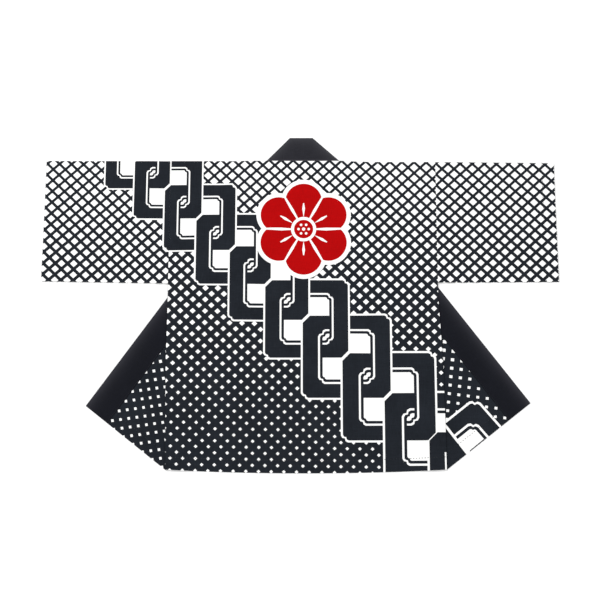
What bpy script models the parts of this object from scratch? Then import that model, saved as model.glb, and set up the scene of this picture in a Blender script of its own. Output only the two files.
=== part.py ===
"""A happi coat of printed cotton, laid flat on a table with its back up.

The fronts are folded outwards under the coat, so that each shows a triangle of its outside, edged by
the collar band, beyond the side seam.  Metres, +X to the wearer's right, +Y towards the neck, +Z up.
The origin is the middle of the coat's outline, on the table.
"""
import math

import bmesh
import bpy
from mathutils import Vector

# Driving sizes
CLOTH = 0.0010              # thickness of a body or sleeve wall
COLLAR_THICK = 0.0020       # the collar band is four plies
NECK_THICK = 0.0040         # the band is pleated over itself behind the neck
COLLAR_ROUND = 0.0006       # of the band's folded edges
PLEAT_INSET = 0.0015        # the upper plies behind the neck stand this far in from the lower ones
COLLAR_WIDTH = 0.068
SEAM_GAP = 0.0003           # between pieces where they are sewn
LAYER_GAP = 0.0008          # between cloths that lie loosely on each other
SHOULDER_Y = 0.3555
COLLAR_TOP_Y = 0.4156
UNDERARM_Y = 0.0457
SIDE_HEM_Y = -0.4072
HEM_DIP = 0.0084            # the hem's middle lies this much lower than its ends
FOLD_TILT = math.radians(19.8)   # of the fronts' folds, from the Y axis
FOLD_INSET = 0.0100         # the fold starts this far in from the side seam at the hem
FOLD_END_WIDTH = 0.0120     # width of the folded part where the fold leaves the cloth
SLEEVE_LOFT = 0.0014        # a sleeve's layers stand this much further apart at its folds
EASE = 0.030                # cloth eases down from a raised layer over this distance
REACH = 0.022               # and stays level this far past the raised layer's edge

# The coat as it lies, one row for each side; x is counted outwards from the origin.
SIDES = {
    "left": {"sign": -1, "armhole_x": 0.3215, "middle_x": 0.3235, "hem_x": 0.3195,
             "cuff_x": 0.6288, "cuff_top_y": 0.3555, "cuff_low_y": 0.0495,
             "flap_x": 0.5124, "flap_y": -0.2554, "edge_exit_y": 0.0109,
             "neck_x": 0.0824, "crown_x": 0.0255},
    "right": {"sign": 1, "armhole_x": 0.3352, "middle_x": 0.3440, "hem_x": 0.3475,
              "cuff_x": 0.6288, "cuff_top_y": 0.3520, "cuff_low_y": 0.0475,
              "flap_x": 0.5508, "flap_y": -0.2487, "edge_exit_y": 0.0357,
              "neck_x": 0.0980, "crown_x": 0.0310},
}
BOW_Y = 0.005               # the side seams are straight above this
MIDDLE_Y = -0.150           # where middle_x is measured, on the side seam

INK = (0.020, 0.021, 0.030, 1.0)
COLLAR_INK = (0.016, 0.016, 0.019, 1.0)


# ---- small helpers

def lerp(start, end, share):
    return start + (end - start) * share


def steps(count):
    """Evenly spaced shares from 0 to 1."""
    return [i / count for i in range(count + 1)]


def smooth(share):
    share = min(max(share, 0.0), 1.0)
    return share * share * (3.0 - 2.0 * share)


def cross_point(point_a, along_a, point_b, along_b):
    """Where two lines in the plane cross, each given by a point and a direction."""
    turn = along_a.x * along_b.y - along_a.y * along_b.x
    gap = point_b - point_a
    return point_a + along_a * ((gap.x * along_b.y - gap.y * along_b.x) / turn)


def depth_inside(outline, point):
    """Distance from a point to the nearest side of a convex outline, negative outside it."""
    centre = sum(outline, Vector((0.0, 0.0))) / len(outline)
    depth = math.inf
    for start, end in zip(outline, outline[1:] + outline[:1]):
        inward = Vector((start.y - end.y, end.x - start.x)).normalized()
        if inward.dot(centre - start) < 0.0:
            inward = -inward
        depth = min(depth, inward.dot(point - start))
    return depth


def cover(outline, point, reach):
    """1 on a raised layer and a little past its edge, easing down to 0 farther out."""
    return 1.0 - smooth((-depth_inside(outline, point) - reach) / EASE)


# ---- the plan of one side of the coat, seen from above

def side_x(row, y):
    """The body's edge at height y: straight at the armhole, then bowed down to the hem."""
    if y >= BOW_Y:
        return row["sign"] * row["armhole_x"]
    if y >= MIDDLE_Y:
        return row["sign"] * lerp(row["armhole_x"], row["middle_x"], (BOW_Y - y) / (BOW_Y - MIDDLE_Y))
    return row["sign"] * lerp(row["middle_x"], row["hem_x"], (MIDDLE_Y - y) / (MIDDLE_Y - SIDE_HEM_Y))


def plan(row):
    """Corners and lines of one side: its folded front and its leg of the collar."""
    sign = row["sign"]
    corner = Vector((sign * row["hem_x"], SIDE_HEM_Y))
    flap = Vector((sign * row["flap_x"], row["flap_y"]))
    edge_exit = Vector((side_x(row, row["edge_exit_y"]), row["edge_exit_y"]))
    neck = Vector((sign * row["neck_x"], SHOULDER_Y))
    hem_along = (corner - flap).normalized()
    inwards = Vector((-sign * math.sin(FOLD_TILT), math.cos(FOLD_TILT)))
    fold_foot = corner + Vector((-sign * FOLD_INSET, SEAM_GAP))
    edge_along = (edge_exit - flap).normalized()
    across = Vector((edge_along.y, -edge_along.x)) * -sign
    seam_foot = cross_point(flap + across * COLLAR_WIDTH, edge_along, flap, hem_along)
    fold_end = cross_point(seam_foot, edge_along, fold_foot, inwards)
    share = 1.0 - FOLD_END_WIDTH / (seam_foot - fold_foot).length
    return {
        "sign": sign, "row": row, "corner": corner, "flap": flap, "edge_exit": edge_exit, "neck": neck,
        "across": across, "edge_along": edge_along, "seam_foot": seam_foot,
        "fold_foot": fold_foot, "fold_head": lerp(fold_foot, fold_end, share),
        "seam_head": lerp(seam_foot, fold_end, share),
        "shoulder": Vector((side_x(row, SHOULDER_Y), SHOULDER_Y)),
    }


def leg_outline(side):
    """The collar's leg, from the hem corner to the shoulder line behind the neck."""
    crotch = cross_point(side["seam_foot"], side["edge_along"], Vector((0.0, SHOULDER_Y)), Vector((1.0, 0.0)))
    return [side["flap"], side["seam_foot"], crotch, side["neck"], side["edge_exit"]]


def flap_outline(side):
    return [side["seam_foot"], side["corner"], side["fold_foot"], side["fold_head"], side["seam_head"]]


def front_outline(side):
    """The part of a front that isn't folded: beside the fold, up to the shoulder."""
    return [side["neck"], side["shoulder"], side["corner"], side["fold_foot"], side["fold_head"]]


PLANS = {name: plan(row) for name, row in SIDES.items()}


# ---- heights of the layers, from the table up

def front_floor(point, reach=REACH):
    """Underside of the upper part of a front: over the collar's leg, over the flap, or on the table."""
    floor = 0.0
    for side in PLANS.values():
        floor = max(floor, (COLLAR_THICK + LAYER_GAP) * cover(leg_outline(side), point, reach))
        floor = max(floor, (CLOTH + LAYER_GAP) * cover(flap_outline(side), point, reach))
    return floor


def back_floor(point):
    """Underside of the back: over the fronts and what they lie on, closer to them along the seams."""
    raised = 0.0
    for side in PLANS.values():
        sewn_edge = min(SHOULDER_Y - point.y, side["sign"] * (side_x(side["row"], point.y) - point.x))
        gap = lerp(SEAM_GAP, LAYER_GAP, smooth(sewn_edge / EASE))
        raised = max(raised, (CLOTH + gap) * cover(front_outline(side), point, REACH))
    return raised + front_floor(point, reach=REACH + EASE * 0.5)


# ---- making a wall from rows of points

def wall(name, rows, ink, closed=False):
    """A cloth wall on a grid of mid-surface points; None marks a place with no cloth."""
    mesh = bpy.data.meshes.new(name)
    edit = bmesh.new()
    grid = [[edit.verts.new(p) if p is not None else None for p in row] for row in rows]
    for low, high in zip(grid, grid[1:]):
        count = min(len(low), len(high))
        last = count if closed else count - 1
        for i in range(last):
            corners = [low[i], low[(i + 1) % count], high[(i + 1) % count], high[i]]
            if None not in corners:
                edit.faces.new(corners)
    bmesh.ops.delete(edit, geom=[v for v in edit.verts if not v.link_faces], context="VERTS")
    bmesh.ops.recalc_face_normals(edit, faces=edit.faces)
    edit.to_mesh(mesh)
    edit.free()
    wall_object = finish(name, mesh, ink)
    solid = wall_object.modifiers.new("Cloth", "SOLIDIFY")
    solid.thickness = CLOTH
    solid.offset = 0.0
    solid.use_even_offset = True
    return wall_object


def finish(name, mesh, ink):
    """Put a mesh in the coat's collection, shaded smooth, in its own cloth."""
    material = bpy.data.materials.new(name + "_cloth")
    material.use_nodes = True
    shader = material.node_tree.nodes["Principled BSDF"]
    shader.inputs["Base Color"].default_value = ink
    shader.inputs["Roughness"].default_value = 0.85
    mesh.materials.append(material)
    mesh.shade_smooth()
    mesh.set_sharp_from_angle(angle=math.radians(40.0))
    made = bpy.data.objects.new(name, mesh)
    bpy.data.collections["happi_coat"].objects.link(made)
    return made


# ---- the pieces

def make_back(row_count=24, column_count=34):
    """The back panel, draped over the fronts, from a slightly rounded hem to the shoulder line."""
    left, right = PLANS["left"], PLANS["right"]
    rows = []
    for up in steps(row_count):
        row = []
        for along in steps(column_count):
            hem = SIDE_HEM_Y - HEM_DIP * (1.0 - (2.0 * along - 1.0) ** 2)
            y = lerp(hem, SHOULDER_Y - SEAM_GAP, up)
            spot = Vector((lerp(side_x(left["row"], y), side_x(right["row"], y), along), y))
            row.append(spot.to_3d() + Vector((0.0, 0.0, back_floor(spot) + CLOTH * 0.5)))
        rows.append(row)
    return wall("back", rows, INK)


def make_front(name, side, lower_rows=16, upper_rows=5, upper_columns=9, flap_columns=6, bend_steps=6):
    """A front: its upper part under the back, the bend along the fold, and the flap on the table."""
    sign = side["sign"]
    inboard = Vector((-sign * math.cos(FOLD_TILT), -math.sin(FOLD_TILT)))
    rows = []
    for up in steps(lower_rows):
        fold = lerp(side["fold_foot"], side["fold_head"], up)
        seam = lerp(side["seam_foot"], side["seam_head"], up) + side["across"] * SEAM_GAP
        row = upper_points(side, fold, upper_columns)
        low = CLOTH * 0.5
        high = row[-1].z
        radius = (high - low) * 0.5
        for turn in steps(bend_steps)[1:-1]:
            out = radius * math.sin(math.pi * turn)
            spot = fold + inboard * out
            row.append(Vector((spot.x, spot.y, low + radius * (1.0 + math.cos(math.pi * turn)))))
        for out in steps(flap_columns):
            spot = lerp(fold, seam, out)
            row.append(Vector((spot.x, spot.y, low)))
        rows.append(row)
    neck = Vector((side["neck"].x, SHOULDER_Y - SEAM_GAP))
    for up in steps(upper_rows)[1:]:
        row = upper_points(side, lerp(side["fold_head"], neck, up), upper_columns)
        row += [None] * (len(rows[0]) - len(row))
        rows.append(row)
    return wall(name, rows, INK)


def upper_points(side, inner, columns):
    """One row of a front's upper part, from the side seam in to the point inner."""
    outer = Vector((side_x(side["row"], inner.y), inner.y))
    row = []
    for along in steps(columns):
        spot = lerp(outer, inner, along)
        row.append(Vector((spot.x, spot.y, front_floor(spot) + CLOTH * 0.5)))
    return row


def make_sleeve(name, side, ring_count=9, face_steps=10, bend_steps=5):
    """A sleeve, a flattened tube from the armhole to the cuff, open at both ends."""
    row, sign = side["row"], side["sign"]
    start_x = side["shoulder"].x + sign * SEAM_GAP
    rings = []
    for out in steps(ring_count):
        x = lerp(start_x, sign * row["cuff_x"], out)
        top = lerp(SHOULDER_Y - SEAM_GAP, row["cuff_top_y"], out)
        low = lerp(UNDERARM_Y, row["cuff_low_y"], out)
        at_body = 1.0 - smooth(out * ring_count / 2.0)
        upper, lower = [], []
        for down in steps(face_steps):
            spot = Vector((start_x, lerp(top, low, down)))
            loft = SLEEVE_LOFT * (1.0 - at_body) * (1.0 - math.sin(math.pi * down) ** 0.5)
            floor = front_floor(spot) * at_body
            lift = lerp(CLOTH + LAYER_GAP, back_floor(spot) - front_floor(spot), at_body)
            lower.append(Vector((x, 0.0, floor + CLOTH * 0.5)))
            upper.append(Vector((x, 0.0, floor + lift + loft + CLOTH * 0.5)))
        rings.append(ring_points(top, low, upper, lower, bend_steps))
    return wall(name, rings, INK, closed=True)


def ring_points(top, low, upper, lower, bend_steps):
    """Close a sleeve's two layers into one ring with half-round bends at its top and bottom."""
    x = upper[0].x
    top_radius = (upper[0].z - lower[0].z) * 0.5
    low_radius = (upper[-1].z - lower[-1].z) * 0.5
    top_bend = top - top_radius - CLOTH * 0.5
    low_bend = low + low_radius + CLOTH * 0.5
    shares = steps(len(upper) - 1)
    ring = [Vector((x, lerp(top_bend, low_bend, share), point.z)) for point, share in zip(upper, shares)]
    for turn in steps(bend_steps)[1:-1]:
        ring.append(bend_point(x, low_bend, lower[-1].z + low_radius, low_radius, math.pi * (0.5 + turn)))
    ring += [Vector((x, lerp(low_bend, top_bend, share), point.z)) for point, share in zip(lower[::-1], shares)]
    for turn in steps(bend_steps)[1:-1]:
        ring.append(bend_point(x, top_bend, lower[0].z + top_radius, top_radius, math.pi * (1.5 + turn)))
    return ring


def bend_point(x, y, z, radius, angle):
    """A point on a bend round the line through (y, z), counted from +Y towards +Z."""
    return Vector((x, y + radius * math.cos(angle), z + radius * math.sin(angle)))


def outline_solid(name, outline, low_z, high_z):
    """A flat outline filled and made thick between two heights, as a mesh object."""
    curve = bpy.data.curves.new(name, "CURVE")
    curve.dimensions = "2D"
    curve.fill_mode = "BOTH"
    curve.extrude = (high_z - low_z) * 0.5
    spline = curve.splines.new("POLY")
    spline.points.add(len(outline) - 1)
    for point, spot in zip(spline.points, outline):
        point.co = (spot.x, spot.y, 0.0, 1.0)
    spline.use_cyclic_u = True
    shape = bpy.data.objects.new(name, curve)
    shape.location.z = (high_z + low_z) * 0.5
    bpy.data.collections["cutters"].objects.link(shape)
    bpy.context.view_layer.update()
    evaluated = shape.evaluated_get(bpy.context.evaluated_depsgraph_get())
    mesh = bpy.data.meshes.new_from_object(evaluated)
    mesh.transform(shape.matrix_world)
    edit = bmesh.new()
    edit.from_mesh(mesh)
    bmesh.ops.remove_doubles(edit, verts=edit.verts, dist=0.00001)
    bmesh.ops.dissolve_limit(edit, angle_limit=math.radians(1.0), verts=edit.verts, edges=edit.edges)
    bmesh.ops.recalc_face_normals(edit, faces=edit.faces)
    edit.to_mesh(mesh)
    edit.free()
    bpy.data.objects.remove(shape)
    return mesh


def make_collar():
    """The collar band: a leg on each front edge, and the pleated part that stands behind the neck."""
    left, right = PLANS["left"], PLANS["right"]
    left_leg = leg_outline(left)
    right_leg = leg_outline(right)
    crotch = (left_leg[2] + right_leg[2]) * 0.5
    crown_left = Vector((-left["row"]["crown_x"], COLLAR_TOP_Y))
    crown_right = Vector((right["row"]["crown_x"], COLLAR_TOP_Y))
    band = [left["seam_foot"], left["flap"], left["edge_exit"], left["neck"], crown_left,
            crown_right, right["neck"], right["edge_exit"], right["flap"], right["seam_foot"], crotch]
    collar = finish("collar", outline_solid("collar", band, 0.0, COLLAR_THICK), COLLAR_INK)
    round_edges(collar)
    inset = Vector((PLEAT_INSET, 0.0))
    drop = Vector((0.0, PLEAT_INSET))
    neck_outline = [left["neck"] + inset, crown_left + inset - drop, crown_right - inset - drop, right["neck"] - inset]
    pleat_mesh = outline_solid("neck_pleats", neck_outline, COLLAR_THICK * 0.5, NECK_THICK)
    pleats = bpy.data.objects.new("neck_pleats", pleat_mesh)
    bpy.data.collections["cutters"].objects.link(pleats)
    pleats.hide_render = True
    pleats.display_type = "WIRE"
    round_edges(pleats)
    join = collar.modifiers.new("Neck", "BOOLEAN")
    join.operation = "UNION"
    join.object = pleats
    return collar


def round_edges(band):
    """The band's edges are folds, so they are rounded."""
    rounding = band.modifiers.new("Folded edges", "BEVEL")
    rounding.width = COLLAR_ROUND
    rounding.segments = 2
    rounding.limit_method = "ANGLE"
    rounding.angle_limit = math.radians(60.0)


def main():
    for old in list(bpy.data.objects):
        bpy.data.objects.remove(old)
    for name in ("happi_coat", "cutters"):
        group = bpy.data.collections.new(name)
        bpy.context.scene.collection.children.link(group)
    make_back()
    for name, side in PLANS.items():
        make_front("front_" + name, side)
        make_sleeve("sleeve_" + name, side)
    make_collar()


main()
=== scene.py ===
"""A printed happi coat laid flat with its back up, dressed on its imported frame.

Each cloth panel is a flat cut, divided into triangles along the edges of its print, laid in the
space that its CAD solid holds, and made a thin closed shell.  Metres, +X to the wearer's right,
+Y towards the neck, +Z up, the table at zero.
"""
import math

import bpy
import numpy as np
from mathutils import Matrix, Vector
from mathutils import noise
from mathutils.geometry import delaunay_2d_cdt


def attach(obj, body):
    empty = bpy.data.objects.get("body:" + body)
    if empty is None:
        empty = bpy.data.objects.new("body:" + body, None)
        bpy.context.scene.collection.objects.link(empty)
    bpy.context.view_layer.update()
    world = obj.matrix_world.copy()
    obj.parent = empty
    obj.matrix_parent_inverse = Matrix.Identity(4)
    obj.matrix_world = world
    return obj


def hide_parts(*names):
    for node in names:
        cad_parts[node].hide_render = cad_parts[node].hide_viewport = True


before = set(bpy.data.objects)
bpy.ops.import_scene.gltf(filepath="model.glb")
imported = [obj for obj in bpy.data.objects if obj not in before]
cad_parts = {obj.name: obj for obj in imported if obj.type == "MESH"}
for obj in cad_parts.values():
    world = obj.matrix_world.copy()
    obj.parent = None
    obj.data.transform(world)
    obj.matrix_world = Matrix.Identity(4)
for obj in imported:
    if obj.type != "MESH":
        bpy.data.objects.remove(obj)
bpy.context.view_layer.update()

# ---- the coat's plan, as its source gives it

CLOTH = 0.0010              # thickness of a cloth wall in the CAD model,
COLLAR_THICK = 0.0020       # of the collar band's four plies,
NECK_THICK = 0.0040         # and of the band where it is pleated behind the neck
COLLAR_WIDTH = 0.068
SEAM_GAP = 0.0003           # between pieces where they are sewn
LAYER_GAP = 0.0008          # between cloths that lie loosely on each other
SHOULDER_Y = 0.3555
COLLAR_TOP_Y = 0.4156
UNDERARM_Y = 0.0457
SIDE_HEM_Y = -0.4072
HEM_DIP = 0.0084            # the hem's middle lies this much lower than its ends
FOLD_TILT = math.radians(19.8)   # of the fronts' folds, from the Y axis
FOLD_INSET = 0.0100         # the fold starts this far in from the side seam at the hem
FOLD_END_WIDTH = 0.0120     # width of the folded part where the fold leaves the cloth
SLEEVE_LOFT = 0.0014        # a sleeve's layers stand this much further apart at its folds
SLEEVE_SETTLE = 4.5         # a sleeve comes down from the body in its length divided by this
EASE = 0.030                # cloth eases down from a raised layer over this distance
REACH = 0.022               # and stays level this far past the raised layer's edge
BOW_Y = 0.005               # the side seams are straight above this
MIDDLE_Y = -0.150           # where middle_x is measured, on the side seam
SIDES = {
    "left": {"sign": -1, "armhole_x": 0.3215, "middle_x": 0.3235, "hem_x": 0.3195,
             "cuff_x": 0.6288, "cuff_top_y": 0.3555, "cuff_low_y": 0.0495,
             "flap_x": 0.5124, "flap_y": -0.2554, "edge_exit_y": 0.0109,
             "neck_x": 0.0824, "crown_x": 0.0255},
    "right": {"sign": 1, "armhole_x": 0.3352, "middle_x": 0.3440, "hem_x": 0.3475,
              "cuff_x": 0.6288, "cuff_top_y": 0.3520, "cuff_low_y": 0.0475,
              "flap_x": 0.5508, "flap_y": -0.2487, "edge_exit_y": 0.0357,
              "neck_x": 0.0980, "crown_x": 0.0310},
}

# ---- cloth as it shows

# how far each side of the laid coat strays from its plan, as loose cloth does
STRAY = {
    "left": {"shoulder_sinks": 0.0, "underarm_sinks": 0.0020,
             "cuff_flares": 0.0020, "neck_spreads": 0.0016},
    "right": {"shoulder_sinks": 0.0024, "underarm_sinks": 0.0,
              "cuff_flares": 0.0012, "neck_spreads": 0.0},
}
WALL = 0.0007               # thickness of one cloth
HEM_TURN = 0.0345           # width of a hem
HEM_STEP = 0.0005           # a hem stands this much proud
STEP_RUN = 0.0012           # over this distance
SEAM_ROLL = 0.0022          # the cloth rolls down to a seam over this distance
SEAM_DROP = 0.0004          # by this much
HEM_STEPS = (HEM_TURN, HEM_TURN + STEP_RUN)      # lines on a cut that shape its hem,
SEAM_STEPS = (SEAM_ROLL * 0.5, SEAM_ROLL)        # and its roll at a seam
RELIEF = 0.0012             # height of its soft undulations,
RELIEF_FADE = 0.05          # which die out towards an edge over this distance
NEAR_EDGE = 0.0004          # a line drawn on a cut stops this far from the cut's edge
STITCH_INSET = 0.0302       # a hem's stitches run this far from its edge
# pitch and length of the stitches, and thickness of the thread
HEM_STITCH = (0.0068, 0.0040, 0.00110)
COLLAR_STITCH = (0.0042, 0.0029, 0.00045)

INK, WHITE, RED = 0, 1, 2
NOTHING = -1


def at(x, y):
    return np.array((x, y), float)


def pointing(degrees):
    """A direction, by its angle from the X axis."""
    return at(math.cos(math.radians(degrees)), math.sin(math.radians(degrees)))


def unit(vector):
    return vector / np.linalg.norm(vector)


def square_to(along, hint):
    """The direction square to a line, on the side that a hint points to."""
    up = at(-along[1], along[0])
    return up if up @ hint > 0.0 else -up


def smooth(share):
    share = np.clip(share, 0.0, 1.0)
    return share * share * (3.0 - 2.0 * share)


def cross_point(point_a, along_a, point_b, along_b):
    turn = along_a[0] * along_b[1] - along_a[1] * along_b[0]
    gap = point_b - point_a
    return point_a + along_a * ((gap[0] * along_b[1] - gap[1] * along_b[0]) / turn)


def depth_inside(outline, points):
    """Distance from each point to the nearest side of a convex outline, negative outside it."""
    outline = np.asarray(outline)
    centre = outline.mean(axis=0)
    depth = np.full(len(points), np.inf)
    for start, end in zip(outline, np.roll(outline, -1, axis=0)):
        inward = square_to(unit(end - start), centre - start)
        depth = np.minimum(depth, (points - start) @ inward)
    return depth


def inside(outline, points):
    """Which points lie in an outline of any shape."""
    outline = np.asarray(outline)
    x, y = points[:, 0], points[:, 1]
    odd = np.zeros(len(points), bool)
    for (x0, y0), (x1, y1) in zip(outline, np.roll(outline, -1, axis=0)):
        if y0 != y1:
            spans = (y0 > y) != (y1 > y)
            odd ^= spans & (x < x0 + (y - y0) * (x1 - x0) / (y1 - y0))
    return odd


def cover(outline, points, reach):
    """1 on a raised layer and a little past its edge, easing down to 0 farther out."""
    return 1.0 - smooth((-depth_inside(outline, points) - reach) / EASE)


def side_x(row, y):
    """The body's edge at height y."""
    reach = (MIDDLE_Y - y) / (MIDDLE_Y - SIDE_HEM_Y)
    low = row["middle_x"] + (row["hem_x"] - row["middle_x"]) * reach
    high = np.interp(y, (MIDDLE_Y, BOW_Y), (row["middle_x"], row["armhole_x"]))
    return row["sign"] * np.where(np.asarray(y) < MIDDLE_Y, low, high)


def plan(key):
    """Corners and lines of one side, as the coat's source names them."""
    row = SIDES[key]
    sign = row["sign"]
    corner = at(sign * row["hem_x"], SIDE_HEM_Y)
    flap = at(sign * row["flap_x"], row["flap_y"])
    edge_exit = at(side_x(row, row["edge_exit_y"]), row["edge_exit_y"])
    neck = at(sign * row["neck_x"], SHOULDER_Y)
    hem_along = unit(corner - flap)
    inwards = at(-sign * math.sin(FOLD_TILT), math.cos(FOLD_TILT))
    fold_foot = corner + at(-sign * FOLD_INSET, SEAM_GAP)
    edge_along = unit(edge_exit - flap)
    across = at(edge_along[1], -edge_along[0]) * -sign
    seam_foot = cross_point(flap + across * COLLAR_WIDTH, edge_along, flap, hem_along)
    fold_end = cross_point(seam_foot, edge_along, fold_foot, inwards)
    share = 1.0 - FOLD_END_WIDTH / np.linalg.norm(seam_foot - fold_foot)
    return {
        "sign": sign, "row": row, "stray": STRAY[key], "corner": corner, "flap": flap,
        "edge_exit": edge_exit, "neck": neck, "across": across, "edge_along": edge_along,
        "seam_foot": seam_foot, "inwards": inwards,
        "outboard": at(sign * math.cos(FOLD_TILT), math.sin(FOLD_TILT)),
        "fold_foot": fold_foot, "fold_head": fold_foot + (fold_end - fold_foot) * share,
        "seam_head": seam_foot + (fold_end - seam_foot) * share,
        "shoulder": at(side_x(row, SHOULDER_Y), SHOULDER_Y),
        "crown": at(sign * row["crown_x"], COLLAR_TOP_Y),
    }


PLANS = {key: plan(key) for key in SIDES}


def leg_outline(side):
    crotch = cross_point(side["seam_foot"], side["edge_along"], at(0.0, SHOULDER_Y), at(1.0, 0.0))
    return [side["flap"], side["seam_foot"], crotch, side["neck"], side["edge_exit"]]


def flap_outline(side):
    return [side["seam_foot"], side["corner"], side["fold_foot"], side["fold_head"], side["seam_head"]]


def front_outline(side):
    return [side["neck"], side["shoulder"], side["corner"], side["fold_foot"], side["fold_head"]]


def front_floor(points, reach=REACH):
    """Underside of the upper part of a front."""
    floor = np.zeros(len(points))
    for side in PLANS.values():
        floor = np.maximum(floor, (COLLAR_THICK + LAYER_GAP) * cover(leg_outline(side), points, reach))
        floor = np.maximum(floor, (CLOTH + LAYER_GAP) * cover(flap_outline(side), points, reach))
    return floor


def back_floor(points):
    """Underside of the back."""
    raised = np.zeros(len(points))
    for side in PLANS.values():
        to_seam = side["sign"] * (side_x(side["row"], points[:, 1]) - points[:, 0])
        sewn_edge = np.minimum(SHOULDER_Y - points[:, 1], to_seam)
        gap = SEAM_GAP + (LAYER_GAP - SEAM_GAP) * smooth(sewn_edge / EASE)
        raised = np.maximum(raised, (CLOTH + gap) * cover(front_outline(side), points, REACH))
    return raised + front_floor(points, reach=REACH + EASE * 0.5)


# ---- the print: a lattice of white diamonds on ink, a chain of links, and a blossom

# height of the cloth, and the share of the lattice's step that a white diamond takes there
BODY_SHARES = ((-0.373, -0.302, -0.230, -0.158, -0.084, -0.010, 0.064, 0.140, 0.216, 0.293),
               (0.301, 0.297, 0.333, 0.389, 0.443, 0.492, 0.551, 0.599, 0.641, 0.691))
SLEEVE_SHARES = ((0.097, 0.152, 0.203, 0.254, 0.306), (0.610, 0.624, 0.648, 0.665, 0.680))
DIAMOND_CUT = 0.05          # a diamond's corners are cut by this share of its sides


class Lattice:
    """White diamonds that shrink towards the hem, in rows offset by half a step.

    across and up are the steps from one diamond to the next in a row and in a column.
    """

    def __init__(self, origin, across, up, height_of, shares):
        self.origin = at(*origin)
        self.axes = np.column_stack((at(*across), at(*up))) * 0.5
        self.inverse = np.linalg.inv(self.axes)
        self.height_of = height_of
        self.shares = shares

    def share(self, points):
        return np.interp(self.height_of(points), *self.shares)

    def outlines(self, area):
        """Outlines of the diamonds that reach into an area."""
        corners = (np.asarray(area) - self.origin) @ self.inverse.T
        low = np.floor(corners.min(axis=0)).astype(int) - 1
        high = np.ceil(corners.max(axis=0)).astype(int) + 1
        steps = [at(a, b) for a in range(low[0], high[0] + 1) for b in range(low[1], high[1] + 1)
                 if (a + b) % 2 == 0]
        centres = self.origin + np.array(steps) @ self.axes.T
        shares = self.share(centres)
        tips = np.array(((1, 0), (0, 1), (-1, 0), (0, -1)), float)
        shape = []
        for tip, following in zip(tips, np.roll(tips, -1, axis=0)):
            shape.append(tip + (following - tip) * DIAMOND_CUT)
            shape.append(tip + (following - tip) * (1.0 - DIAMOND_CUT))
        shape = np.array(shape) @ self.axes.T
        return [centre + shape * share for centre, share in zip(centres, shares)]

    def colours(self, points):
        place = (points - self.origin) @ self.inverse.T
        colour = np.full(len(points), INK)
        for odd in (0, 1):
            nearest = np.round((place - odd) / 2.0) * 2.0 + odd
            share = self.share(self.origin + nearest @ self.axes.T)
            off = np.abs(place - nearest)
            white = (off.sum(axis=1) < share) & (off.max(axis=1) < share * (1.0 - DIAMOND_CUT))
            colour[white] = WHITE
        return colour


LINK_GROWTH = 1.048         # each link of the chain is this much larger than the last
LINK_START = (-0.4817, 0.4358)       # upper left corner of the link numbered 0,
LINK_STEP = (0.07208, -0.06966)      # and from there to the next link's
LINK_WIDE = 0.1591          # of that link, both without the white outline
LINK_HIGH = 0.1513
LINK_LINE = 0.0205          # shares of a link's width: its white lines,
LINK_BAND_WIDE = 0.1685     # its upright bands,
LINK_BAND_HIGH = 0.153      # its level bands,
LINK_THIN = 0.029           # and the thin line round its hole
LINK_FREE_CUT = 0.060       # its corners are cut, the notched ones less
LINK_SHARED_CUT = 0.080     # than those that touch the next link but one
LINK_INNER_CUT = 0.069
LINK_LENS_CUT = 0.080
OFFSET_CUT = 2.0 - math.sqrt(2.0)    # a corner's cut shrinks by this when its sides move in by 1
NOTCH_START = 0.27          # where along a cut its notch begins,
NOTCH_OUT = 0.07            # how far its lips stand out,
NOTCH_IN = 0.08             # and how far it goes in, as shares of the cut


def notched_corner(corner, cut, x_way, y_way, notch):
    """Points of a cut corner from its level side to its upright side, with a notch halfway."""
    start = corner - at(x_way, 0.0) * cut
    end = corner - at(0.0, y_way) * cut
    if not notch:
        return [start, end]
    out = at(x_way, y_way) * cut
    middle = (start + end) * 0.5
    return [start, start + (end - start) * NOTCH_START + out * NOTCH_OUT, middle - out * NOTCH_IN,
            start + (end - start) * (1.0 - NOTCH_START) + out * NOTCH_OUT, end]


def notched_ring(left, right, low, high, free_cut, shared_cut, notches=(True, True, True, True)):
    """A rectangle with cut corners, anticlockwise from the lower right."""
    ring = notched_corner(at(right, low), shared_cut, 1, -1, notches[0])
    ring += notched_corner(at(right, high), free_cut, 1, 1, notches[1])[::-1]
    ring += notched_corner(at(left, high), shared_cut, -1, 1, notches[2])
    ring += notched_corner(at(left, low), free_cut, -1, -1, notches[3])[::-1]
    return np.array(ring)


def link_rings(left, high, wide, tall, band_wide=LINK_BAND_WIDE, band_high=LINK_BAND_HIGH):
    """The five nested outlines of a link: white line, band, white line, thin line, hole."""
    widths = [LINK_LINE, band_wide, LINK_LINE, LINK_THIN]
    heights = [LINK_LINE, band_high, LINK_LINE, LINK_THIN]
    free = [LINK_FREE_CUT + LINK_LINE * OFFSET_CUT, LINK_FREE_CUT, LINK_INNER_CUT]
    shared = [LINK_SHARED_CUT + LINK_LINE * OFFSET_CUT, LINK_SHARED_CUT, LINK_LENS_CUT]
    for thinner in (LINK_LINE, LINK_THIN):
        free.append(free[-1] - thinner * OFFSET_CUT)
        shared.append(shared[-1] - thinner * OFFSET_CUT)
    rings = []
    for i in range(5):
        x_in = sum(widths[:i]) * wide
        y_in = sum(heights[:i]) * wide
        outer = i < 2
        rings.append(notched_ring(left + x_in, left + wide - x_in, high - tall + y_in, high - y_in,
                                  free[i] * wide, shared[i] * wide, (not outer, True, not outer, True)))
    return rings


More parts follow.
